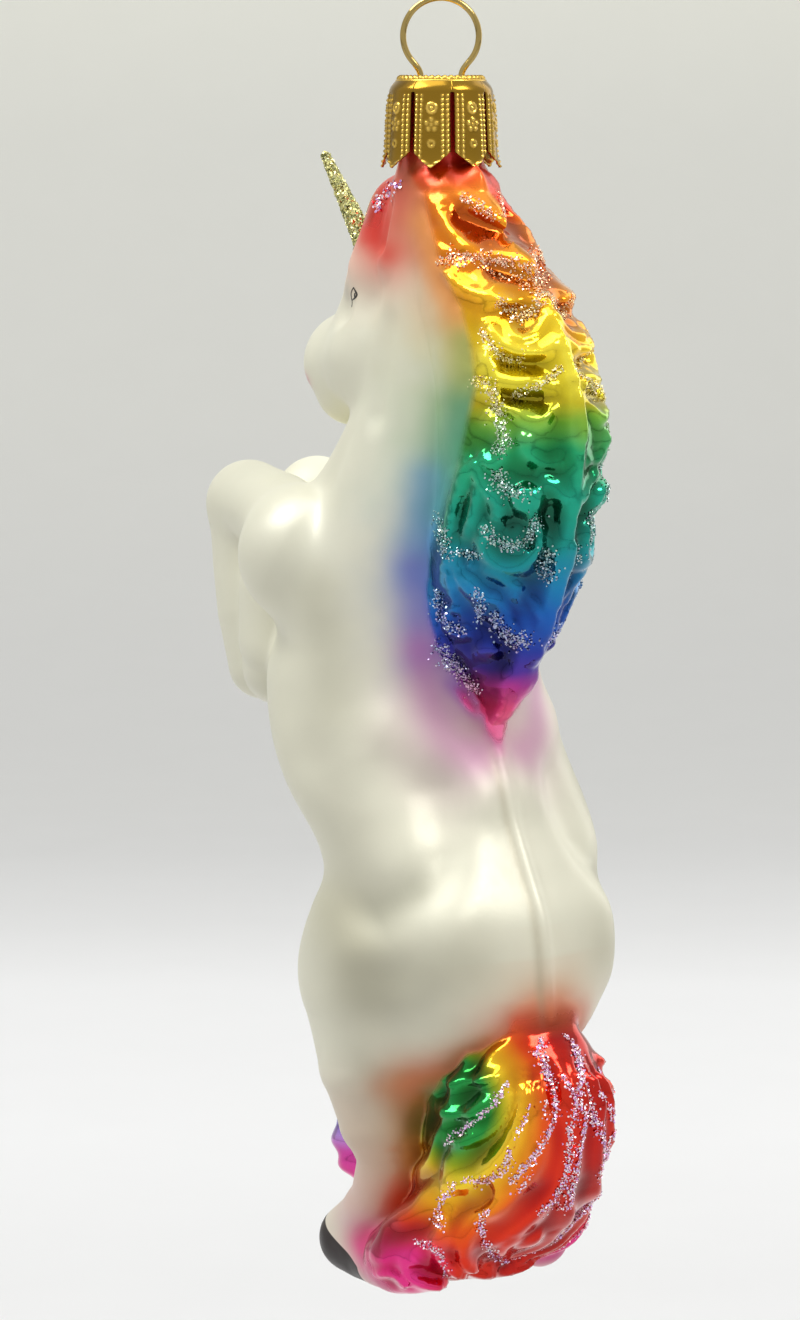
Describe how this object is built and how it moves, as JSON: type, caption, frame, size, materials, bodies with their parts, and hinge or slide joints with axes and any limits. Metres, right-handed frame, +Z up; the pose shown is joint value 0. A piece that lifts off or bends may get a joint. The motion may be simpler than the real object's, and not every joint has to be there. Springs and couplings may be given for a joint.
{
  "type": "unicorn hanging ornament",
  "caption": "Hanging ornament: a rearing unicorn blown in thin silvered glass, with a glued glittered horn, a stamped crown cap and a spring-wire loop",
  "frame": {"origin": "the hanging point, on the inside of the top of the wire loop, on the cap's axis", "axes": "+Z up; the unicorn faces -Y; its left side is +X"},
  "size_m": [0.04, 0.0704, 0.1612],
  "materials": {
    "gold_wire": "bright gilt wire",
    "gold_cap": "bright gilt embossed sheet",
    "silvered_glass": "silvered inside, satin pearl-white lacquer with airbrushed rainbow, glossy translucent rainbow lacquer on mane and tail",
    "horn_glitter": "olive-gold glitter",
    "clear_glue": "set clear glue",
    "line_glitter": "iridescent glitter in clear glue"
  },
  "bodies": {
    "hanger_body": {"hanger": "gold_wire"},
    "cap_body": {"cap": "gold_cap"},
    "figure": {"glass_body": "silvered_glass", "horn": "horn_glitter", "horn_adhesive": "clear_glue", "forelock_glitter": "line_glitter", "mane_glitter_left": "line_glitter", "mane_glitter_right": "line_glitter", "tail_glitter_left": "line_glitter", "tail_glitter_right": "line_glitter"}
  },
  "joints": [
    {"name": "hanger_swing", "type": "hinge", "parent": "hanger_body", "child": "cap_body", "pos_m": [0, 0, -0.00976], "axis": [-0.8192, 0.5736, 0], "range_deg": [-15, 15]},
    {"name": "cap_pull", "type": "slide", "parent": "cap_body", "child": "figure", "axis": [0, 0, -1], "range_m": [0, 0.014]}
  ]
}
